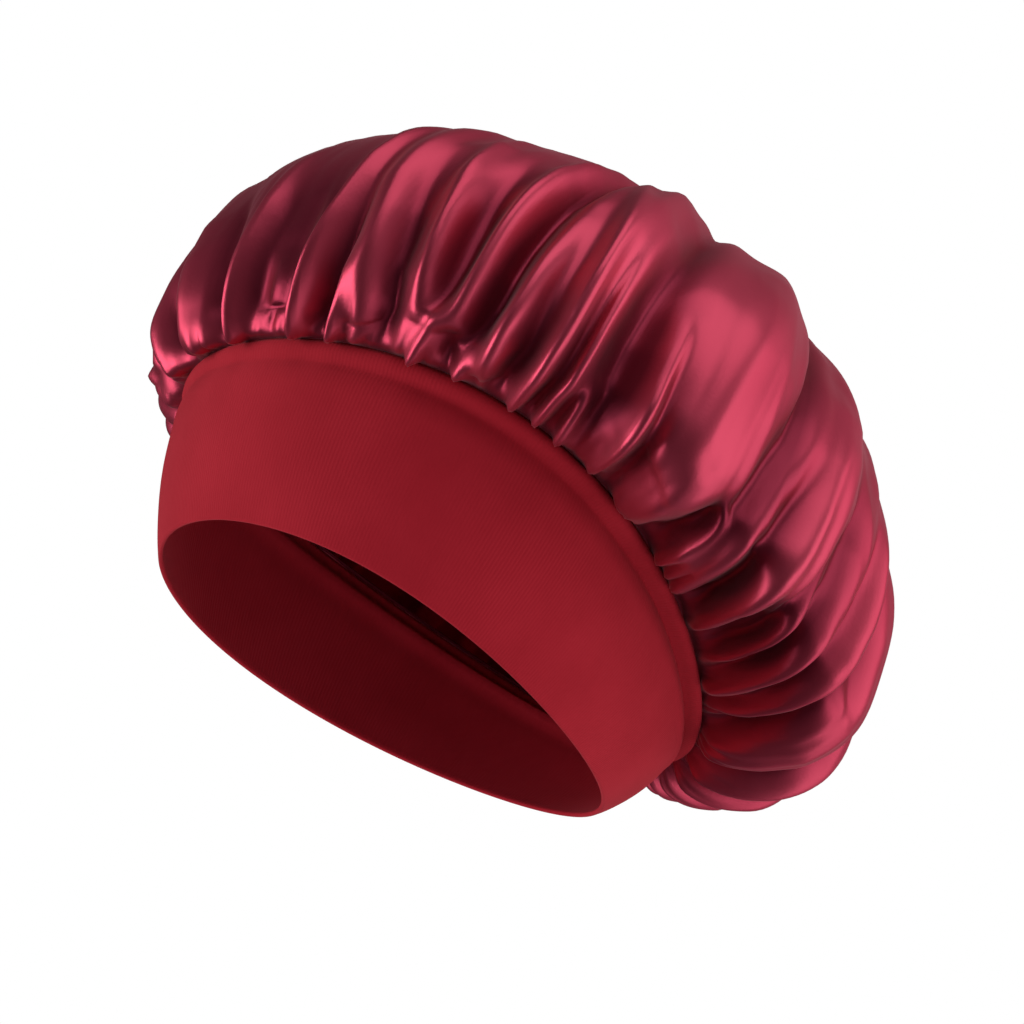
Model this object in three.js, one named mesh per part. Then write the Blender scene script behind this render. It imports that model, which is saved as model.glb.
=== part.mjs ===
// Sleep bonnet: a satin crown gathered onto a wide doubled knit band, in the shape it has on a head.
// Millimetres, +Z up through the crown, -Y the wearer's front, +X the wearer's left.
// The origin is the middle of the head opening, in the plane of the rim.
// Angles run round the head from +X: 90 degrees is the back and -90 degrees the forehead.

import * as THREE from 'three';

// ---- Driving dimensions (mm) ----

// Three rings drive the shape: the folded rim, the seam of band and crown, and the widest line of the crown.
// Each is an egg seen from above, and waves up and down as it goes round the head.
const RIM = { halfWidth: 79.6, halfLength: 97.2, egg: -0.24, back: 0, level: 0, tilt: 0, saddle: -2.4 };
const SEAM = { halfWidth: 98.5, halfLength: 117.3, egg: -0.3, back: -0.5, level: 57.8, tilt: -10, saddle: 4 };
const BULGE = { halfWidth: 148, halfLength: 155, egg: -0.16, back: 14, level: 82, tilt: -18, saddle: -9 };

// The top of the crown, and how the cloth leaves the seam and rounds over.
const TOP = { back: 34, level: 204 };
const SEAM_DROP = { all: 7, back: 30 };
const RISE = 0.53;
const ROUNDING = 0.535;
const LOWER_SHARE = 0.3;
const FAN_DEG = 14;

const SATIN_WALL = 2;
const BAND_WALL = 3;
const PIECE_GAP = 0.3;
const SEAM_FLANGE = 2.4;

const CROWN_COLUMNS = 120;
const BAND_COLUMNS = 64;

// How far up from the seam each ring of the crown lies, as a share of the way to the top.
const CROWN_ROWS = [0, 0.03, 0.07, 0.12, 0.18, 0.25, 0.32, 0.4, 0.5, 0.61, 0.74, 0.88];

// The band's outer face: share of its height, swell outward, and how much of the gathered lip it has.
const BAND_OUTER = [
  { up: 0.00, swell: 0.0, lip: 0.0 },
  { up: 0.20, swell: 2.2, lip: 0.0 },
  { up: 0.45, swell: 3.4, lip: 0.0 },
  { up: 0.70, swell: 2.6, lip: 0.0 },
  { up: 0.84, swell: 1.4, lip: -0.8 },
  { up: 0.89, swell: 0.9, lip: -1.0 },
  { up: 0.95, swell: 0.3, lip: 1.0 },
  { up: 1.00, swell: -0.4, lip: 0.0 },
];
const BAND_INNER = [
  { up: 0.97, swell: -0.4, lip: 0.0 },
  { up: 0.70, swell: 2.6, lip: 0.0 },
  { up: 0.45, swell: 3.4, lip: 0.0 },
  { up: 0.20, swell: 2.2, lip: 0.0 },
  { up: 0.02, swell: 0.2, lip: 0.0 },
];
const LIP = { front: 0.4, back: 1.6 };

// Folds of the crown, a row each. seam, mid and end are its angle in degrees where it leaves the seam,
// half way and where it dies away; wide is half its width in degrees; high is mm outward, below zero
// for a valley; start and stop are shares of the way from the seam to the top.
const FOLDS = [
  { seam: -98, mid: -102, end: -106, wide: 4.0, high: 3.5, start: 0.00, stop: 0.26 },
  { seam: -92, mid: -94, end: -99, wide: 3.0, high: -3.0, start: 0.00, stop: 0.22 },
  { seam: -88, mid: -87, end: -87, wide: 2.5, high: 3.5, start: 0.00, stop: 0.28 },
  { seam: -81, mid: -80, end: -79, wide: 5.0, high: -4.5, start: 0.00, stop: 0.42 },
  { seam: -71, mid: -71, end: -70, wide: 2.5, high: 4.5, start: 0.00, stop: 0.45 },
  { seam: -68, mid: -68, end: -68, wide: 2.5, high: -3.0, start: 0.00, stop: 0.25 },
  { seam: -64, mid: -64, end: -62, wide: 3.0, high: 3.5, start: 0.02, stop: 0.40 },
  { seam: -58, mid: -59, end: -58, wide: 4.0, high: 4.0, start: 0.12, stop: 0.55 },
  { seam: -57, mid: -56, end: -55, wide: 2.5, high: -3.0, start: 0.00, stop: 0.20 },
  { seam: -53, mid: -52, end: -50, wide: 2.5, high: 3.0, start: 0.00, stop: 0.20 },
  { seam: -50, mid: -49, end: -47, wide: 3.5, high: -5.5, start: 0.12, stop: 0.45 },
  { seam: -45, mid: -45, end: -46, wide: 2.5, high: -4.5, start: 0.00, stop: 0.62 },
  { seam: -41, mid: -42, end: -39, wide: 3.0, high: 5.0, start: 0.00, stop: 0.65 },
  { seam: -34, mid: -34, end: -33, wide: 2.5, high: -4.5, start: 0.00, stop: 0.38 },
  { seam: -31, mid: -31, end: -31, wide: 2.5, high: 4.0, start: 0.02, stop: 0.42 },
  { seam: -27, mid: -27, end: -26, wide: 3.5, high: -5.0, start: 0.05, stop: 0.68 },
  { seam: -20, mid: -20, end: -20, wide: 2.5, high: 4.0, start: 0.02, stop: 0.34 },
  { seam: -16, mid: -16, end: -14, wide: 3.0, high: -3.0, start: 0.00, stop: 0.25 },
  { seam: -13, mid: -12, end: -8, wide: 7.0, high: 4.0, start: 0.08, stop: 0.72 },
  { seam: -9, mid: -3, end: 9, wide: 2.8, high: -5.0, start: 0.00, stop: 0.66 },
  { seam: -4, mid: 1, end: 10, wide: 3.0, high: 4.0, start: 0.00, stop: 0.52 },
  { seam: 4, mid: 5, end: 8, wide: 2.8, high: -5.5, start: 0.00, stop: 0.34 },
  { seam: 8, mid: 9, end: 17, wide: 3.0, high: 4.0, start: 0.00, stop: 0.50 },
  { seam: 14, mid: 14, end: 24, wide: 2.8, high: -5.5, start: 0.00, stop: 0.42 },
  { seam: 18, mid: 20, end: 28, wide: 3.0, high: 4.0, start: 0.00, stop: 0.42 },
  { seam: 22, mid: 22, end: 25, wide: 2.5, high: -3.5, start: 0.00, stop: 0.30 },
  { seam: 28, mid: 29, end: 36, wide: 4.0, high: 4.0, start: 0.00, stop: 0.48 },
  { seam: 37, mid: 36, end: 44, wide: 3.5, high: -6.5, start: 0.00, stop: 0.36 },
  { seam: 46, mid: 48, end: 52, wide: 6.0, high: 4.0, start: 0.00, stop: 0.42 },
  { seam: 57, mid: 57, end: 58, wide: 3.5, high: -4.0, start: 0.00, stop: 0.30 },
  { seam: 66, mid: 67, end: 68, wide: 5.0, high: 3.5, start: 0.00, stop: 0.36 },
  { seam: 77, mid: 78, end: 79, wide: 3.5, high: -4.0, start: 0.00, stop: 0.34 },
];
// The wearer's right side carries the same folds mirrored, from this angle on.
const MIRROR_FROM_DEG = -72;
const MIRROR_TURN_DEG = 2;
const MIDDLE_FOLD = { seam: 90, mid: 90, end: 90, wide: 4.0, high: 4.0, start: 0.00, stop: 0.36 };

const SATIN_COLOUR = 0x8f2a3e;
const KNIT_COLOUR = 0x84161f;

// ---- Rings and surfaces ----

const UP = new THREE.Vector3(0, 0, 1);

function ringPoint(ring, angle) {
  const along = Math.sin(angle);
  return new THREE.Vector3(
    ring.halfWidth * Math.cos(angle) * (1 + ring.egg * along),
    ring.back + ring.halfLength * along,
    ring.level + ring.tilt * along + ring.saddle * Math.cos(2 * angle),
  );
}

// The cloth fans out from the narrow back of the seam, so a column of the crown starts further back.
function seamAngle(angle) {
  return angle + THREE.MathUtils.degToRad(FAN_DEG) * (1 + Math.sin(angle)) * Math.cos(angle);
}

// One column of the crown without its folds: out and down from the seam to the bulge, then over to the top.
function crownColumn(angle) {
  const seam = ringPoint(SEAM, seamAngle(angle));
  const bulge = ringPoint(BULGE, angle);
  const top = new THREE.Vector3(0, TOP.back, TOP.level);
  const outward = bulge.clone().sub(seam).setZ(0);
  const backness = ((1 + Math.sin(angle)) / 2) ** 2;
  const drop = SEAM_DROP.all + SEAM_DROP.back * backness;
  const leave = seam.clone().addScaledVector(outward, 0.5).addScaledVector(UP, -drop);
  const arrive = bulge.clone().addScaledVector(UP, -0.5 * (bulge.z - seam.z));
  const rise = bulge.clone().addScaledVector(UP, RISE * (top.z - bulge.z));
  const rounding = bulge.clone().sub(top).setZ(0).multiplyScalar(ROUNDING).add(top);
  const lower = new THREE.CubicBezierCurve3(seam, leave, arrive, bulge);
  const upper = new THREE.CubicBezierCurve3(bulge, rise, rounding, top);
  return (share) => (share < LOWER_SHARE
    ? lower.getPoint(share / LOWER_SHARE)
    : upper.getPoint((share - LOWER_SHARE) / (1 - LOWER_SHARE)));
}

function crownPoint(angle, share) {
  return crownColumn(angle)(share);
}

const NUDGE = 0.01;

function crownNormal(angle, share) {
  const round = crownPoint(angle + NUDGE, share).sub(crownPoint(angle - NUDGE, share));
  const low = Math.max(share - NUDGE, 0);
  const up = crownPoint(angle, share + NUDGE).sub(crownPoint(angle, low));
  return round.cross(up).normalize();
}

function degreesApart(a, b) {
  return THREE.MathUtils.euclideanModulo(a - b + 180, 360) - 180;
}

function allFolds() {
  const mirrored = FOLDS.filter((fold) => fold.mid > MIRROR_FROM_DEG).map((fold) => ({
    ...fold,
    seam: 180 - fold.seam + MIRROR_TURN_DEG,
    mid: 180 - fold.mid + MIRROR_TURN_DEG,
    end: 180 - fold.end + MIRROR_TURN_DEG,
  }));
  return [...FOLDS, MIDDLE_FOLD, ...mirrored];
}

const CROWN_FOLDS = allFolds();

// How far the cloth stands out from the smooth crown, from all the folds at this place.
function foldHeight(angle, share) {
  const degrees = THREE.MathUtils.radToDeg(angle);
  let height = 0;
  for (const fold of CROWN_FOLDS) {
    const along = (share - fold.start) / (fold.stop - fold.start);
    if (along <= 0 || along >= 1) continue;
    const first = THREE.MathUtils.lerp(fold.seam, fold.mid, Math.min(2 * along, 1));
    const path = along < 0.5 ? first : THREE.MathUtils.lerp(fold.mid, fold.end, 2 * along - 1);
    const across = degreesApart(degrees, path) / fold.wide;
    height += fold.high * Math.exp(-across * across) * Math.sin(Math.PI * along ** 0.7);
  }
  return height;
}

// ---- Closed skins from rings of points ----

// Joins neighbouring rings with triangles. A ring of one point is a pole, and a looped skin joins
// its last ring to its first.
function skin(rings, looped) {
  const positions = rings.flat().flatMap((point) => point.toArray());
  const firstIndex = [];
  let count = 0;
  for (const ring of rings) {
    firstIndex.push(count);
    count += ring.length;
  }
  const indices = [];
  const pairs = looped ? rings.length : rings.length - 1;
  for (let row = 0; row < pairs; row += 1) {
    const next = (row + 1) % rings.length;
    const lower = rings[row].length;
    const upper = rings[next].length;
    const columns = Math.max(lower, upper);
    for (let column = 0; column < columns; column += 1) {
      const a = firstIndex[row] + (column % lower);
      const b = firstIndex[row] + ((column + 1) % lower);
      const c = firstIndex[next] + ((column + 1) % upper);
      const d = firstIndex[next] + (column % upper);
      if (lower > 1) indices.push(a, b, c);
      if (upper > 1) indices.push(a, c, d);
    }
  }
  const geometry = new THREE.BufferGeometry();
  geometry.setAttribute('position', new THREE.Float32BufferAttribute(positions, 3));
  geometry.setIndex(indices);
  geometry.computeVertexNormals();
  return geometry;
}

function anglesRound(columns) {
  return Array.from({ length: columns }, (_, column) => (2 * Math.PI * column) / columns);
}

// ---- Crown: one gathered bag of satin, open at the seam ----

function crownGeometry() {
  const angles = anglesRound(CROWN_COLUMNS);
  const outer = CROWN_ROWS.map((share) => angles.map((angle) => {
    const height = foldHeight(angle, share);
    return crownPoint(angle, share).addScaledVector(crownNormal(angle, share), height);
  }));
  const inner = CROWN_ROWS.map((share, row) => angles.map((angle, column) => (
    outer[row][column].clone().addScaledVector(crownNormal(angle, share), -SATIN_WALL))));
  // The gathered edge turns in over the top of the band.
  const flange = (lift) => angles.map((angle) => {
    const seam = ringPoint(SEAM, seamAngle(angle));
    const inward = new THREE.Vector3(-seam.x, SEAM.back - seam.y, 0).setLength(SEAM_FLANGE);
    return seam.add(inward).addScaledVector(UP, lift);
  });
  const outerTop = new THREE.Vector3(0, TOP.back, TOP.level);
  const innerTop = outerTop.clone().addScaledVector(UP, -SATIN_WALL);
  return skin([
    [innerTop],
    ...inner.slice().reverse(),
    flange(SATIN_WALL),
    flange(0),
    ...outer,
    [outerTop],
  ], false);
}

// ---- Band: doubled knit, folded at the rim and flared up to the seam ----

function bandRing(row, depth) {
  return anglesRound(BAND_COLUMNS).map((angle) => {
    const rim = ringPoint(RIM, angle);
    const seam = ringPoint(SEAM, angle).addScaledVector(UP, -PIECE_GAP);
    const ahead = ringPoint(SEAM, angle + NUDGE).sub(ringPoint(SEAM, angle - NUDGE));
    const outward = ahead.cross(seam.clone().sub(rim)).normalize();
    const lip = THREE.MathUtils.lerp(LIP.front, LIP.back, (1 + Math.sin(angle)) / 2);
    const out = row.swell + row.lip * lip - depth;
    return rim.lerp(seam, row.up).addScaledVector(outward, out);
  });
}

function bandGeometry() {
  const outer = BAND_OUTER.map((row) => bandRing(row, 0));
  const inner = BAND_INNER.map((row) => bandRing(row, BAND_WALL));
  const foldOuter = bandRing({ up: -0.02, swell: 0, lip: 0 }, 0.7);
  const foldInner = bandRing({ up: -0.02, swell: 0, lip: 0 }, BAND_WALL - 0.7);
  return skin([...outer, ...inner, foldInner, foldOuter], true);
}

// ---- Assembly ----

function cloth(color, roughness) {
  return new THREE.MeshStandardMaterial({ color, roughness, metalness: 0, side: THREE.DoubleSide });
}

const crown = new THREE.Mesh(crownGeometry(), cloth(SATIN_COLOUR, 0.35));
crown.name = 'crown';

const band = new THREE.Mesh(bandGeometry(), cloth(KNIT_COLOUR, 0.85));
band.name = 'band';

const bonnet = new THREE.Group();
bonnet.name = 'sleep_bonnet';
bonnet.add(crown, band);

export default bonnet;
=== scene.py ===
"""Sleep bonnet: a gathered satin crown on a wide doubled knit band, as it looks on a head.

The frame has +Z up through the crown, -Y the wearer's front and +X the wearer's left. Shapes are
worked out in mm and become metres when a mesh is made. Angles run round the head from +X: 90
degrees is the back and -90 degrees the forehead. A share is how far along the way from the seam,
0, to the top of the crown, 1.
"""
import math

import bpy
import numpy as np
from mathutils import Matrix, Vector, noise


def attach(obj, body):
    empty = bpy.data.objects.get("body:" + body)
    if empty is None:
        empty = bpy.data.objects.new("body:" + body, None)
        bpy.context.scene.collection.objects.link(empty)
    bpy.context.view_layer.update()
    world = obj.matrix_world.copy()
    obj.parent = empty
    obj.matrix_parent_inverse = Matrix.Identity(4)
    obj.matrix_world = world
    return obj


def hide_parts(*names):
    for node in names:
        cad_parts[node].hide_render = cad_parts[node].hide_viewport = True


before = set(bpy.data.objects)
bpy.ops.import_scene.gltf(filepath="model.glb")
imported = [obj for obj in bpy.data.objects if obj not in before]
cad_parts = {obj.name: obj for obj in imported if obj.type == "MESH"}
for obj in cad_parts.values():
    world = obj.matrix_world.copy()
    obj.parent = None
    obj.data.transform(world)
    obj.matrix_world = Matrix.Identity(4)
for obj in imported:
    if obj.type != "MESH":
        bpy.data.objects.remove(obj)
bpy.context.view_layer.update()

MM = 0.001

# ---- Driving dimensions, in mm ----

# The folded rim, the seam between band and crown, and the crown's widest part. All are the CAD's.
RIM = dict(half_width=79.6, half_length=97.2, egg=-0.24, back=0, level=0, tilt=0, saddle=-2.4)
SEAM = dict(half_width=98.5, half_length=117.3, egg=-0.3, back=-0.5, level=57.8, tilt=-10, saddle=4)
BULGE = dict(half_width=148, half_length=155, egg=-0.16, back=14, level=82, tilt=-18, saddle=-9)
TOP = np.array([0.0, 34.0, 204.0])
# How far the cloth hangs below the seam before it turns up: all round, and how much more at the
# back. It is less than in the CAD, because that brings the outline closer to the photo's.
SEAM_DROP_ALL = 3
SEAM_DROP_BACK = 15
# Least length of the upright handle that rounds the cloth under its widest part.
TURN_UNDER = 24
# Length of the handles that round the cloth over the top, as a share of the way there.
RISE = 0.53
ROUNDING = 0.535
# The share at which the cloth is at its widest.
LOWER_SHARE = 0.3
# How many degrees further back a line of the crown starts at the seam, at the wearer's sides.
FAN_DEG = 14

# The walls, the gap between the pieces, and the crown's edge behind the band.
SATIN_WALL = 0.8
BAND_WALL = 1.8
PIECE_GAP = 0.3
SEAM_FLANGE = 2.0

# Points round and up the meshes. The crown's points round halve past each of the shares given.
CROWN_COLUMNS = 640
CROWN_ROWS = 84
CROWN_ROW_SPREAD = 1.25
CROWN_HALVINGS = (0.62, 0.82, 0.93)
BAND_COLUMNS = 320
BAND_STEPS = 56
RIM_TURN_STEPS = 7
# Step to each side, in radians or share, when a direction along a surface is worked out.
NUDGE = 0.004
# Largest share looked at for a direction: the surface has none at the top itself.
NEAR_TOP = 0.999

# ---- Folds of the crown ----

# Large folds, a row each: angle in degrees where the fold leaves the seam, half way and where it
# dies away; half width in degrees; mm outward, below zero for a valley; first and last share of
# the way from the seam to the top; how sharp it is, from 0 for a soft swell to 1 for a crease.
FOLD_COLUMNS = ("seam", "mid", "end", "wide", "high", "start", "stop", "sharp")
FOLDS = (
    (-112, -113, -116, 3.0, 5.0, 0.00, 0.30, 0.2),
    (-106, -108, -112, 2.4, -6.0, 0.00, 0.26, 0.4),
    (-98, -101, -106, 3.4, 7.0, 0.00, 0.46, 0.2),
    (-93, -94, -99, 2.2, -8.0, 0.00, 0.42, 0.3),
    (-88, -87, -87, 1.8, 8.0, 0.00, 0.46, 0.5),
    (-81, -80, -79, 4.5, -6.0, 0.00, 0.50, 0.0),
    (-80, -80, -80, 2.0, 3.5, 0.10, 0.24, 0.0),
    (-75, -72, -73, 1.8, 9.0, 0.00, 0.62, 0.4),
    (-70, -69.5, -69, 1.8, -8.0, 0.00, 0.36, 0.2),
    (-67, -66.5, -66, 1.3, 6.0, 0.00, 0.26, 0.4),
    (-62, -65, -69, 3.4, 7.0, 0.08, 0.66, 0.0),
    (-57, -61, -66, 2.2, -8.0, 0.00, 0.58, 0.2),
    (-54, -57, -62, 1.7, 6.0, 0.13, 0.62, 0.2),
    (-52, -52, -54, 2.6, -8.0, 0.17, 0.52, 0.0),
    (-53, -52, -50, 1.2, 5.5, 0.00, 0.20, 0.3),
    (-50, -48, -46, 1.9, 7.0, 0.13, 0.70, 0.1),
    (-47, -48, -49, 1.4, -6.0, 0.00, 0.18, 0.4),
    (-45, -45, -44, 1.2, 5.0, 0.00, 0.17, 0.3),
    (-46, -44.5, -43.5, 2.0, -11.0, 0.03, 0.84, 0.3),
    (-42, -42, -41, 2.2, 6.0, 0.05, 0.46, 0.0),
    (-39.5, -38.5, -38, 1.7, -7.0, 0.00, 0.40, 0.2),
    (-37, -34.5, -41, 1.7, 9.0, 0.00, 0.70, 0.3),
    (-34.5, -33, -32.5, 1.5, -10.0, 0.00, 0.44, 0.2),
    (-34, -34, -34, 3.0, 6.0, 0.28, 0.82, 0.0),
    (-32, -31, -30, 1.3, 6.0, 0.00, 0.56, 0.2),
    (-30, -30, -30, 1.2, -6.0, 0.00, 0.20, 0.2),
    (-28, -28, -29, 1.2, 6.0, 0.00, 0.26, 0.2),
    (-25.5, -26, -22, 3.4, -11.0, 0.02, 0.88, 0.1),
    (-22, -20.5, -22, 1.4, 8.0, 0.00, 0.44, 0.3),
    (-18.5, -18.5, -19.5, 1.7, -7.0, 0.00, 0.42, 0.2),
    (-15, -11, -6, 3.0, 6.0, 0.00, 0.36, 0.0),
    (-14, -10, 1, 6.5, 7.0, 0.16, 0.90, 0.0),
    (-9, -6, -4, 1.9, -10.0, 0.00, 0.30, 0.3),
    (-5, -3.5, -2, 1.4, 6.0, 0.00, 0.28, 0.2),
    (-4, 3, 13, 2.6, -10.0, 0.10, 0.86, 0.3),
    (1, 1.5, 3, 2.6, 6.0, 0.00, 0.36, 0.0),
    (8, 4.5, 9, 2.4, -11.0, 0.00, 0.44, 0.2),
    (10.5, 9, 14, 2.0, 8.0, 0.00, 0.60, 0.2),
    (14, 12.5, 13, 1.6, -7.0, 0.00, 0.30, 0.2),
    (12, 15, 22, 3.2, 6.0, 0.14, 0.80, 0.0),
    (18, 15, 19, 2.0, -9.0, 0.00, 0.42, 0.2),
    (20, 17.5, 23, 1.9, 7.5, 0.00, 0.42, 0.2),
    (22.5, 20, 26, 2.3, -11.0, 0.00, 0.56, 0.2),
    (27, 25, 32, 3.0, 7.0, 0.00, 0.52, 0.0),
    (31, 28, 40, 2.4, -9.0, 0.00, 0.66, 0.3),
    (34, 32, 38, 3.2, 8.0, 0.04, 0.70, 0.0),
    (41, 36, 46, 3.0, -12.0, 0.00, 0.52, 0.2),
    (44, 42, 42, 2.6, -5.0, 0.26, 0.44, 0.0),
    (48, 47, 54, 5.5, 8.0, 0.00, 0.62, 0.0),
    (59, 57, 61, 2.8, -8.0, 0.00, 0.46, 0.3),
    (66, 64, 68, 4.0, 7.0, 0.00, 0.52, 0.0),
    (73, 72, 75, 2.8, -8.0, 0.00, 0.44, 0.3),
    (80, 79, 82, 3.6, 7.0, 0.00, 0.48, 0.0),
    (86, 85, 87, 2.6, -7.0, 0.00, 0.40, 0.3),
)
MIDDLE_FOLD = (92, 92, 92, 3.5, 6.0, 0.00, 0.38, 0.2)
# The wearer's right side is not seen. It carries the same folds mirrored, from this angle on,
# turned a little, and lower and wider.
MIRROR_FROM_DEG = -72
MIRROR_TURN_DEG = 2
MIRROR_HIGH = 0.6
MIRROR_WIDE = 1.4

# A fold that starts at the seam has begun below it, at this share, so it has height there.
FOLD_BELOW_SEAM = -0.05
# How fast a crease falls to each side, and how round its tip is.
CREASE_FALL = 1.4
CREASE_TIP = 0.03
# Below 1, a fold is at its highest in its lower half.
FOLD_LEAN = 0.7

# Layers of gathers: how many go round, mm high, shortest and longest share that they reach, seed.
GATHERS = (
    dict(count=50, high=1.5, shortest=0.16, longest=0.45, seed=11),
    dict(count=92, high=3.8, shortest=0.05, longest=0.16, seed=23),
    dict(count=176, high=1.6, shortest=0.025, longest=0.08, seed=37),
)
# Least and most of a gather's width and height against its layer's, how square its dome is, and
# how much of its height lies inside the plain form.
GATHER_WIDTHS = (0.6, 1.4)
GATHER_HEIGHTS = (0.5, 1.3)
DOME_POWER = 2.3
DOME_MIDDLE = 0.55
# A gather's height at the seam against its full one, and the part of its reach that it grows over.
GATHER_START = 0.6
GATHER_GROWS = 0.25
# The stitches hold the folds down to this much of their height at the seam.
SEAM_KEEP = 0.12
# How far in mm the middle of the folds lies inside the plain form: under the bulge all round,
# more there at the front, and all the way up at the back.
TAKE_IN = 2.2
TAKE_IN_FRONT = 2.5
TAKE_IN_BACK = 2.6
# The satin's colour gets painted shade by a fold's height: the bottom of a fold is this many mm below
# the plain form, and its top this many above that.
RISE_FROM = 8.0
RISE_SPAN = 11.0
# How much of that height's value is left at the seam, so that painted shade darkens the cloth there
# more.
RISE_KEPT_FOR_PAINTED_SEAM_SHADE = 0.5

# Ridges that run up the cloth: mm high, how much of a share counts, seed and fineness.
STREAKS = (
    dict(high=1.6, stretch=0.10, seed=41.0, scale=9.0),
    dict(high=0.7, stretch=0.06, seed=57.0, scale=21.0),
)
# Slow sideways drift of the gathers, in degrees.
DRIFT = dict(size=3.0, seed=5.0, scale=2.2)
# Small creases: mm high, and mm from one to the next.
CRUMPLE = dict(size=0.7, seed=7.0, cell=24.0)

# Where each thing grows or dies away: the share that this starts at, and how far it goes on.
SEAM_GROW = (0, 0.05)
DRIFT_GROW = (0, 0.2)
TAKE_IN_GROW = (0, 0.15)
TAKE_IN_END = (0.3, 0.2)
TAKE_IN_BACK_END = (0.7, 0.3)
STREAKS_GROW = (0, 0.04)
STREAKS_END = (0.15, 0.55)
CRUMPLE_END = (0.5, 0.4)
# The same for the back of the head, by the sine of the angle.
BACK_GROW = (-0.4, 0.8)


# ---- Rings and surfaces, in mm ----

def ring_points(ring, angles):
    along = np.sin(angles)
    return np.stack([
        ring["half_width"] * np.cos(angles) * (1 + ring["egg"] * along),
        ring["back"] + ring["half_length"] * along,
        ring["level"] + ring["tilt"] * along + ring["saddle"] * np.cos(2 * angles),
    ], axis=-1)


def seam_angles(angles):
    """The cloth fans out from the narrow back of the seam, so a column starts further back."""
    return angles + math.radians(FAN_DEG) * (1 + np.sin(angles)) * np.cos(angles)


def bezier(a, b, c, d, t):
    t = t[..., None]
    s = 1 - t
    return s ** 3 * a + 3 * s * s * t * b + 3 * s * t * t * c + t ** 3 * d


def crown_points(angles, shares):
    """The crown without its folds: out and down from the seam to the bulge, then over to the top."""
    up = np.array([0.0, 0.0, 1.0])
    flat = np.array([1.0, 1.0, 0.0])
    seam = ring_points(SEAM, seam_angles(angles))
    bulge = ring_points(BULGE, angles)
    drop = SEAM_DROP_ALL + SEAM_DROP_BACK * ((1 + np.sin(angles)) / 2) ** 2
    climb = (bulge - seam)[..., 2:]
    leave = seam + 0.5 * (bulge - seam) * flat - drop[..., None] * up
    arrive = bulge - np.hypot(0.5 * climb, TURN_UNDER) * up
    rise = bulge + RISE * (TOP[2] - bulge[..., 2:]) * up
    rounding = TOP + (bulge - TOP) * flat * ROUNDING
    lower = bezier(seam, leave, arrive, bulge, np.clip(shares / LOWER_SHARE, 0, 1))
    over = np.clip((shares - LOWER_SHARE) / (1 - LOWER_SHARE), 0, 1)
    upper = bezier(bulge, rise, rounding, TOP, over)
    return np.where((shares < LOWER_SHARE)[..., None], lower, upper)


def crown_normals(angles, shares):
    low = np.maximum(shares - NUDGE, 0)
    high = np.minimum(shares + NUDGE, NEAR_TOP)
    round_way = crown_points(angles + NUDGE, shares) - crown_points(angles - NUDGE, shares)
    up_way = crown_points(angles, high) - crown_points(angles, low)
    normals = np.cross(round_way, up_way)
    return normals / np.linalg.norm(normals, axis=-1, keepdims=True)


def smooth_step(value):
    """From 0 to 1 as value goes from 0 to 1, level at both ends."""
    value = np.clip(value, 0, 1)
    return value * value * (3 - 2 * value)


def grow(value, start_and_length):
    start, length = start_and_length
    return smooth_step((value - start) / length)


def named_folds(rows):
    return [dict(zip(FOLD_COLUMNS, row)) for row in rows]


def all_folds():
    rows = named_folds((*FOLDS, MIDDLE_FOLD))
    for row in named_folds(FOLDS):
        if row["mid"] > MIRROR_FROM_DEG:
            for key in ("seam", "mid", "end"):
                row[key] = 180 - row[key] + MIRROR_TURN_DEG
            row["high"] *= MIRROR_HIGH
            row["wide"] *= MIRROR_WIDE
            rows.append(row)
    return rows


def fold_height(degrees, shares):
    """Height of the large folds. Each follows a curve through its three angles and dies away."""
    height = np.zeros_like(degrees)
    for fold in all_folds():
        start = fold["start"] if fold["start"] > 0 else FOLD_BELOW_SEAM
        along = (shares - start) / (fold["stop"] - start)
        inside = (along > 0) & (along < 1)
        along = np.clip(along, 0, 1)
        first = fold["seam"] + (fold["end"] - fold["seam"]) * along
        middle = fold["mid"] - (fold["seam"] + fold["end"]) / 2
        path = first + 4 * middle * along * (1 - along)
        across = ((degrees - path + 180) % 360 - 180) / fold["wide"]
        soft = np.exp(-across ** 2)
        crease = np.exp(-CREASE_FALL * np.sqrt(across ** 2 + CREASE_TIP))
        shape = soft + fold["sharp"] * (crease - soft)
        height += inside * fold["high"] * shape * np.sin(np.pi * along ** FOLD_LEAN)
    return height


def gather_height(degrees, shares, layer):
    """Domes side by side with sharp valleys between them, each with its own height and reach."""
    draw = np.random.default_rng(layer["seed"])
    widths = draw.uniform(*GATHER_WIDTHS, layer["count"])
    edges = np.concatenate([[0], np.cumsum(widths)]) * 360 / widths.sum()
    highs = layer["high"] * draw.uniform(*GATHER_HEIGHTS, layer["count"])
    reaches = draw.uniform(layer["shortest"], layer["longest"], layer["count"])
    place = degrees % 360
    index = np.clip(np.searchsorted(edges, place, side="right") - 1, 0, layer["count"] - 1)
    local = (place - edges[index]) / (edges[index + 1] - edges[index])
    dome = 1 - np.abs(2 * local - 1) ** DOME_POWER
    along = shares / reaches[index]
    grown = GATHER_START + (1 - GATHER_START) * smooth_step(along / GATHER_GROWS)
    envelope = grown * (1 - smooth_step(along))
    return highs[index] * (dome - DOME_MIDDLE) * envelope


def wander(angles, shares, seed, scale, size=1.0):
    """Slow random drift, in the units of size, that is the same on every run. The noise is read
    round a circle whose radius is the scale, so a larger scale is finer."""
    out = np.empty(angles.size)
    for i, (a, s) in enumerate(zip(angles.ravel(), shares.ravel())):
        place = Vector((math.cos(a) * scale, math.sin(a) * scale, s * scale * 2 + seed))
        out[i] = noise.noise(place)
    return size * out.reshape(angles.shape)


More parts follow.
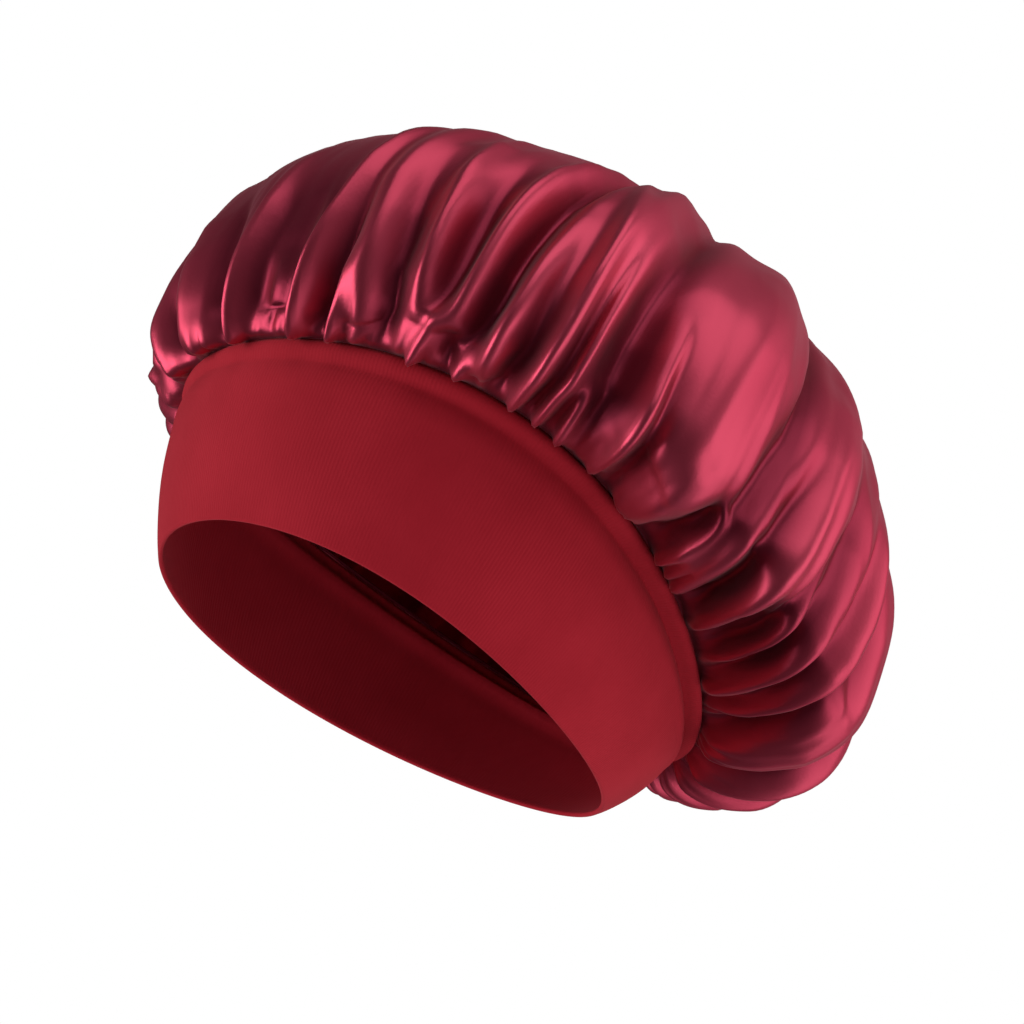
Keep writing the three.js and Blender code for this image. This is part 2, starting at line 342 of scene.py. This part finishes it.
def streaks(angles, shares):
    """Fine irregular ridges that run up the cloth with the folds."""
    height = 0
    for layer in STREAKS:
        drift = wander(angles, shares * layer["stretch"], layer["seed"], layer["scale"])
        height = height + layer["high"] * (0.5 - 2 * np.abs(drift))
    return height * (1 - grow(shares, STREAKS_END))


def crumple(points, seed, cell, size):
    """Small soft creases in the cloth, from folded noise at places in mm."""
    out = np.empty(points.shape[0])
    shift = Vector((seed, 2 * seed, 3 * seed))
    for i, point in enumerate(points):
        value = noise.noise(Vector(point) / cell + shift)
        out[i] = 1 - 2 * abs(value)
    return size * out


# ---- Mesh helpers ----

def new_object(name, points_mm, faces, uv=None):
    mesh = bpy.data.meshes.new(name)
    mesh.from_pydata([tuple(p) for p in np.asarray(points_mm) * MM], [], faces)
    mesh.update()
    if uv is not None:
        layer = mesh.uv_layers.new(name="UVMap")
        loops = np.empty(len(mesh.loops), dtype=np.int32)
        mesh.loops.foreach_get("vertex_index", loops)
        layer.data.foreach_set("uv", np.asarray(uv)[loops].astype(np.float32).ravel())
    mesh.polygons.foreach_set("use_smooth", [True] * len(mesh.polygons))
    piece = bpy.data.objects.new(name, mesh)
    bpy.context.scene.collection.objects.link(piece)
    return piece


def bridge(lower, upper):
    """Faces between two rings of vertex numbers; the upper ring has as many points, or half, or one."""
    faces = []
    count = len(lower)
    if len(upper) == count:
        for i in range(count):
            j = (i + 1) % count
            faces.append((lower[i], lower[j], upper[j], upper[i]))
    elif len(upper) == 1:
        for i in range(count):
            faces.append((lower[i], lower[(i + 1) % count], upper[0]))
    else:
        half = len(upper)
        for i in range(half):
            a, b, c = lower[2 * i], lower[2 * i + 1], lower[(2 * i + 2) % count]
            d, e = upper[i], upper[(i + 1) % half]
            faces += [(a, b, d), (b, e, d), (b, c, e)]
    return faces


# ---- Crown ----

def crown_rings():
    """Angles and share of each ring of points, coarser towards the top."""
    rings = []
    for row in range(CROWN_ROWS):
        share = (row / CROWN_ROWS) ** CROWN_ROW_SPREAD
        columns = CROWN_COLUMNS
        for limit in CROWN_HALVINGS:
            if share > limit:
                columns //= 2
        rings.append((np.arange(columns) * 2 * math.pi / columns, np.full(columns, share)))
    return rings


def crown_height(angles, shares, base):
    """How far in mm the cloth stands off the plain form, folds and all."""
    degrees = np.degrees(angles)
    drift = wander(angles, shares, **DRIFT) * grow(shares, DRIFT_GROW)
    height = fold_height(degrees, shares)
    for layer in GATHERS:
        height += gather_height(degrees + drift, shares, layer)
    height *= SEAM_KEEP + (1 - SEAM_KEEP) * grow(shares, SEAM_GROW)
    front = np.clip(-np.sin(angles), 0, 1) ** 2
    low = grow(shares, TAKE_IN_GROW) * (1 - grow(shares, TAKE_IN_END))
    height -= (TAKE_IN + TAKE_IN_FRONT * front) * low
    back = grow(np.sin(angles), BACK_GROW)
    height -= TAKE_IN_BACK * back * grow(shares, TAKE_IN_GROW) * (1 - grow(shares, TAKE_IN_BACK_END))
    height += streaks(angles, shares) * grow(shares, STREAKS_GROW)
    calm = grow(shares, SEAM_GROW) * (1 - grow(shares, CRUMPLE_END))
    height += crumple(base, **CRUMPLE) * calm
    return height


def crown_surface():
    """Outer points ring by ring, their normals, and how far up its fold each lies, from 0 to 1."""
    rings = crown_rings()
    angles = np.concatenate([a for a, _ in rings])
    shares = np.concatenate([s for _, s in rings])
    base = crown_points(angles, shares)
    normals = crown_normals(angles, shares)
    height = crown_height(angles, shares, base)
    points = base + normals * height[:, None]
    # The rise value, from 0 to 1, is read by the satin: painted shade in the fold bottoms and more at
    # the seam, and a faint painted highlight on the fold tops.
    rise = np.clip((height + RISE_FROM) / RISE_SPAN, 0, 1)
    rise *= RISE_KEPT_FOR_PAINTED_SEAM_SHADE + (1 - RISE_KEPT_FOR_PAINTED_SEAM_SHADE) * grow(shares, SEAM_GROW)
    return rings, points, normals, rise


def crown_flange(angles):
    """The cloth's edge behind the band, which joins the outer and the inner skin: two rings."""
    seam = ring_points(SEAM, seam_angles(angles))
    centre = np.array([0.0, SEAM["back"], 0.0])
    inward = (centre - seam) * np.array([1.0, 1.0, 0.0])
    inward /= np.linalg.norm(inward, axis=1, keepdims=True)
    low = seam + SEAM_FLANGE * inward
    return low, low + np.array([0.0, 0.0, SATIN_WALL])


def skin(edge, rings, top):
    """Faces from an edge up through rings of vertex numbers to the top."""
    faces = bridge(edge, rings[0])
    for a, b in zip(rings, rings[1:]):
        faces += bridge(a, b)
    return faces + bridge(rings[-1], [top])


def build_crown():
    rings, outer, normals, rise = crown_surface()
    inner = outer - normals * SATIN_WALL
    flange_low, flange_high = crown_flange(rings[0][0])
    top_inner = TOP - np.array([0.0, 0.0, SATIN_WALL])
    points = np.concatenate([outer, [TOP], inner, [top_inner], flange_low, flange_high])

    starts = np.cumsum([0] + [len(a) for a, _ in rings])
    top = len(outer)
    inner_start = top + 1
    outer_rings = [list(range(starts[i], starts[i + 1])) for i in range(len(rings))]
    inner_rings = [[v + inner_start for v in ring] for ring in outer_rings]
    low_start = 2 * inner_start
    columns = len(flange_low)
    low = list(range(low_start, low_start + columns))
    high = list(range(low_start + columns, low_start + 2 * columns))

    faces = skin(low, outer_rings, top)
    faces += [tuple(reversed(face)) for face in skin(high, inner_rings, inner_start + top)]
    faces += bridge(high, low)
    crown = new_object("satin_crown", points, faces)
    # Rise for the painted shade: the top gets 1, and the cloth's edge behind the band 0, the darkest
    # painted shade.
    values = np.concatenate([rise, [1.0], rise, [1.0], np.zeros(2 * columns)])
    layer = crown.data.attributes.new("rise", "FLOAT", "POINT")
    layer.data.foreach_set("value", values.astype(np.float32))
    return crown


# ---- Band ----

# Outer face of the band from the rim up: share of its height, mm of swell, and how much of the
# lip lies there, from -1.5 in the groove under it to 1 at its crest.
BAND_PROFILE = (
    (0.00, 0.0, 0.0), (0.05, 0.7, 0.0), (0.20, 2.2, 0.0), (0.45, 3.4, 0.0), (0.70, 2.6, 0.0),
    (0.80, 1.9, 0.0), (0.85, 1.4, -0.7), (0.885, 1.0, -1.5), (0.92, 0.7, 0.2), (0.95, 0.4, 1.0),
    (0.98, 0.0, 0.9), (1.00, -0.5, 0.1),
)
# Height of the lip in mm.
LIP_FRONT = 0.5
LIP_BACK = 3.0
# Where the inner face begins, as a share of the band's height.
INNER_TOP = 0.98


def spline(keys, values, at):
    """Smooth curve through the profile's points."""
    keys = np.asarray(keys, float)
    values = np.asarray(values, float)
    slopes = np.gradient(values, keys)
    index = np.clip(np.searchsorted(keys, at, side="right") - 1, 0, len(keys) - 2)
    span = keys[index + 1] - keys[index]
    t = (at - keys[index]) / span
    a, b = values[index], values[index + 1]
    m, n = slopes[index] * span, slopes[index + 1] * span
    return ((2 * t ** 3 - 3 * t ** 2 + 1) * a + (t ** 3 - 2 * t ** 2 + t) * m
            + (3 * t ** 2 - 2 * t ** 3) * b + (t ** 3 - t ** 2) * n)


def build_band():
    """Up the outer face, down the inner face and round the fold at the rim, ring by ring."""
    angles = math.pi / 2 + np.arange(BAND_COLUMNS) * 2 * math.pi / BAND_COLUMNS
    rim = ring_points(RIM, angles)
    seam = ring_points(SEAM, angles) - np.array([0.0, 0.0, PIECE_GAP])
    round_way = ring_points(SEAM, angles + NUDGE) - ring_points(SEAM, angles - NUDGE)
    outward = np.cross(round_way, seam - rim)
    outward /= np.linalg.norm(outward, axis=1, keepdims=True)
    lip = LIP_FRONT + (LIP_BACK - LIP_FRONT) * (1 + np.sin(angles)) / 2
    ups, swells, lips = zip(*BAND_PROFILE)

    def ring(up, depth):
        swell = float(spline(ups, swells, np.array(max(up, 0.0))))
        curl = float(spline(ups, lips, np.array(max(up, 0.0))))
        out = swell + curl * lip - depth
        return rim + (seam - rim) * up + outward * out[:, None]

    rings = [ring(up, 0.0) for up in np.linspace(0, 1, BAND_STEPS)]
    rings += [ring(up, BAND_WALL) for up in np.linspace(INNER_TOP, 0.0, BAND_STEPS // 2)]
    radius = BAND_WALL / 2
    height = np.linalg.norm(seam - rim, axis=1).mean()
    for turn in np.linspace(0, math.pi, RIM_TURN_STEPS)[1:-1]:
        rings.append(ring(-radius * math.sin(turn) / height, radius + radius * math.cos(turn)))
    points = np.concatenate(rings)
    numbers = [list(range(i * BAND_COLUMNS, (i + 1) * BAND_COLUMNS)) for i in range(len(rings))]
    faces = []
    for a, b in zip(numbers, numbers[1:] + numbers[:1]):
        faces += bridge(a, b)
    perimeter = np.linalg.norm(np.diff(rim, axis=0, append=rim[:1]), axis=1).cumsum()
    u = np.tile(perimeter, len(rings)) * MM
    v = np.repeat(np.arange(len(rings)) / BAND_STEPS, BAND_COLUMNS) * height * MM
    return new_object("knit_band", points, faces, uv=np.stack([u, v], axis=1))


# ---- Materials ----

def node_material(name):
    material = bpy.data.materials.new(name)
    material.use_nodes = True
    tree = material.node_tree
    return material, tree, tree.nodes["Principled BSDF"]


def set_inputs(node, values):
    for name, value in values.items():
        node.inputs[name].default_value = value


def noise_node(tree, scale, detail, vector):
    node = tree.nodes.new("ShaderNodeTexNoise")
    set_inputs(node, {"Scale": scale, "Detail": detail})
    tree.links.new(vector, node.inputs["Vector"])
    return node


def ramp_node(tree, factor, stops):
    node = tree.nodes.new("ShaderNodeValToRGB")
    elements = node.color_ramp.elements
    elements[0].position, elements[0].color = stops[0][0], (*stops[0][1], 1)
    elements[1].position, elements[1].color = stops[-1][0], (*stops[-1][1], 1)
    for place, colour in stops[1:-1]:
        elements.new(place).color = (*colour, 1)
    tree.links.new(factor, node.inputs["Fac"])
    return node


def bump_node(tree, height, strength, distance):
    node = tree.nodes.new("ShaderNodeBump")
    set_inputs(node, {"Strength": strength, "Distance": distance})
    tree.links.new(height, node.inputs["Height"])
    return node


def multiply_node(tree, first, second):
    """One colour times another. A Mix node's colour sockets have numbers, as their names repeat."""
    first_in, second_in, colour_out = 6, 7, 2
    node = tree.nodes.new("ShaderNodeMix")
    node.data_type = "RGBA"
    node.blend_type = "MULTIPLY"
    node.inputs["Factor"].default_value = 1.0
    tree.links.new(first, node.inputs[first_in])
    tree.links.new(second, node.inputs[second_in])
    return node.outputs[colour_out]


def satin_material():
    """Shiny cloth in two shades of wine red, with painted shade in the bottoms of the folds and at the
    seam, and a faint painted highlight on the fold tops.
    """
    material, tree, shader = node_material("satin")
    coords = tree.nodes.new("ShaderNodeTexCoord").outputs["Object"]
    patches = noise_node(tree, 14.0, 3.0, coords)
    colour = ramp_node(tree, patches.outputs["Fac"], (
        (0.30, (0.44, 0.044, 0.082)), (0.70, (0.52, 0.058, 0.104))))
    # Painted shade and highlight: the fold height darkens the base colour in the fold bottoms and at
    # the seam, and lightens it a little on the fold tops.
    rise = tree.nodes.new("ShaderNodeAttribute")
    rise.attribute_name = "rise"
    depth = ramp_node(tree, rise.outputs["Fac"], (
        (0.10, (0.44, 0.36, 0.42)), (0.45, (0.82, 0.76, 0.80)), (0.80, (1.05, 1.05, 1.05))))
    shaded = multiply_node(tree, colour.outputs["Color"], depth.outputs["Color"])
    tree.links.new(shaded, shader.inputs["Base Color"])
    set_inputs(shader, {
        "Metallic": 0.78, "Roughness": 0.38, "Specular Tint": (0.80, 0.26, 0.34, 1),
        "Sheen Weight": 0.14, "Sheen Roughness": 0.35, "Sheen Tint": (1.0, 0.60, 0.65, 1)})
    threads = noise_node(tree, 900.0, 2.0, coords)
    bump = bump_node(tree, threads.outputs["Fac"], 0.2, 0.0002)
    tree.links.new(bump.outputs["Normal"], shader.inputs["Normal"])
    return material


def knit_material():
    """Matt red knit with fine wales that run up the band."""
    material, tree, shader = node_material("knit")
    uv = tree.nodes.new("ShaderNodeTexCoord").outputs["UV"]
    coords = tree.nodes.new("ShaderNodeTexCoord").outputs["Object"]
    patches = noise_node(tree, 30.0, 4.0, coords)
    colour = ramp_node(tree, patches.outputs["Fac"], (
        (0.30, (0.335, 0.0080, 0.0185)), (0.72, (0.390, 0.0120, 0.0250))))
    tree.links.new(colour.outputs["Color"], shader.inputs["Base Color"])
    set_inputs(shader, {
        "Roughness": 0.9, "Specular IOR Level": 0.15,
        "Sheen Weight": 0.08, "Sheen Roughness": 0.45, "Sheen Tint": (1.0, 0.35, 0.4, 1)})
    wales = tree.nodes.new("ShaderNodeTexWave")
    wales.wave_type = "BANDS"
    wales.bands_direction = "X"
    set_inputs(wales, {"Scale": 260.0, "Distortion": 0.6, "Detail Scale": 2.0})
    tree.links.new(uv, wales.inputs["Vector"])
    bump = bump_node(tree, wales.outputs["Fac"], 0.18, 0.0004)
    tree.links.new(bump.outputs["Normal"], shader.inputs["Normal"])
    return material


# ---- Camera, light and floor ----

# Where the camera stands: degrees round from the front and above the horizon, metres away, degrees
# of roll, and how far the aim point lies to the side and above the middle of the head opening.
CAMERA = dict(azimuth=61.84, elevation=-22.58, distance=1.0778, roll=28.37, aside=0.009, above=0.0732)
LENS_MM = 105.09
NEAREST_SEEN = 0.05


def view_axes():
    a = math.radians(CAMERA["azimuth"])
    e = math.radians(CAMERA["elevation"])
    towards = Vector((math.sin(a) * math.cos(e), -math.cos(a) * math.cos(e), math.sin(e)))
    right = Vector((math.cos(a), math.sin(a), 0))
    up = towards.cross(right)
    roll = math.radians(CAMERA["roll"])
    turned_right = right * math.cos(roll) + up * math.sin(roll)
    turned_up = up * math.cos(roll) - right * math.sin(roll)
    aim = right * CAMERA["aside"] + up * CAMERA["above"]
    return towards, turned_right, turned_up, aim


def build_camera():
    towards, right, up, aim = view_axes()
    data = bpy.data.cameras.new("camera")
    data.lens = LENS_MM
    data.clip_start = NEAREST_SEEN
    camera = bpy.data.objects.new("camera", data)
    bpy.context.scene.collection.objects.link(camera)
    matrix = Matrix((right, up, towards)).transposed().to_4x4()
    matrix.translation = aim + towards * CAMERA["distance"]
    camera.matrix_world = matrix
    bpy.context.scene.camera = camera


# Soft boxes, a row each: name, metres to the right of the view, up it and towards it, size, watts.
SOFT_BOXES = (
    ("key", (0.30, 1.35, 0.25), 1.50, 10.0),
    ("right", (1.45, 0.10, 0.0), 1.40, 8.0),
    ("left", (-1.40, 0.15, 0.10), 1.00, 12.5),
    ("low right", (0.95, -1.05, 0.05), 1.20, 4.0),
    ("front right", (1.00, -0.55, 0.85), 0.80, 3.0),
)


def build_lights():
    towards, right, up, aim = view_axes()
    for name, (aside, above, near), size, watts in SOFT_BOXES:
        data = bpy.data.lights.new(name, "AREA")
        data.size = size
        data.energy = watts
        light = bpy.data.objects.new(name, data)
        bpy.context.scene.collection.objects.link(light)
        light.location = aim + right * aside + up * above + towards * near
        light.rotation_euler = (aim - light.location).to_track_quat("-Z", "Y").to_euler()


# The world's bright side lies to the right of the view, this much down and this much away.
BRIGHT_DOWN = 0.25
BRIGHT_AWAY = 0.15
# How the world's fill grows towards that side: cosines of the angle from it, and strengths there.
FILL_GROWS = {"From Min": -0.25, "From Max": 0.7, "To Min": 0.03, "To Max": 0.42}
FILL_COLOUR = (1.0, 0.97, 0.97, 1)


def fill_strength(tree):
    """Strength of the world's fill, from the way that a ray goes."""
    towards, right, up, _ = view_axes()
    bright_side = (right - up * BRIGHT_DOWN - towards * BRIGHT_AWAY).normalized()
    coords = tree.nodes.new("ShaderNodeTexCoord")
    dot = tree.nodes.new("ShaderNodeVectorMath")
    dot.operation = "DOT_PRODUCT"
    dot.inputs[1].default_value = bright_side
    tree.links.new(coords.outputs["Generated"], dot.inputs[0])
    level = tree.nodes.new("ShaderNodeMapRange")
    level.interpolation_type = "SMOOTHSTEP"
    set_inputs(level, FILL_GROWS)
    tree.links.new(dot.outputs["Value"], level.inputs["Value"])
    return level.outputs["Result"]


def build_world():
    """White to the camera; to the cloth a studio bright on one side and dim on the other."""
    world = bpy.data.worlds.new("studio")
    bpy.context.scene.world = world
    world.use_nodes = True
    tree = world.node_tree
    shown = tree.nodes["Background"]
    set_inputs(shown, {"Color": (1, 1, 1, 1), "Strength": 1.0})
    fill = tree.nodes.new("ShaderNodeBackground")
    fill.inputs["Color"].default_value = FILL_COLOUR
    tree.links.new(fill_strength(tree), fill.inputs["Strength"])
    mix = tree.nodes.new("ShaderNodeMixShader")
    path = tree.nodes.new("ShaderNodeLightPath")
    tree.links.new(path.outputs["Is Camera Ray"], mix.inputs["Fac"])
    tree.links.new(fill.outputs["Background"], mix.inputs[1])
    tree.links.new(shown.outputs["Background"], mix.inputs[2])
    tree.links.new(mix.outputs["Shader"], tree.nodes["World Output"].inputs["Surface"])


# Metres: how far the floor lies below the head opening, and half its side.
FLOOR_DROP = 1.0
FLOOR_HALF = 20.0


def build_floor():
    """A plain pale floor that the satin does not mirror."""
    corners = ((-1, -1), (1, -1), (1, 1), (-1, 1))
    mesh = bpy.data.meshes.new("floor")
    points = [(x * FLOOR_HALF, y * FLOOR_HALF, -FLOOR_DROP) for x, y in corners]
    mesh.from_pydata(points, [], [(0, 1, 2, 3)])
    floor = bpy.data.objects.new("floor", mesh)
    bpy.context.scene.collection.objects.link(floor)
    material, _, shader = node_material("floor")
    set_inputs(shader, {
        "Base Color": (0.60, 0.59, 0.58, 1), "Roughness": 0.9,
        "Emission Color": (1.0, 0.98, 0.97, 1), "Emission Strength": 0.22})
    mesh.materials.append(material)
    floor.visible_glossy = False


# ---- Assembly ----

build_camera()
build_lights()
build_world()
build_floor()

crown = build_crown()
crown.data.materials.append(satin_material())
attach(crown, "root")
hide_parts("crown")

band = build_band()
band.data.materials.append(knit_material())
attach(band, "root")
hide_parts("band")

bpy.context.scene.view_settings.view_transform = "Standard"
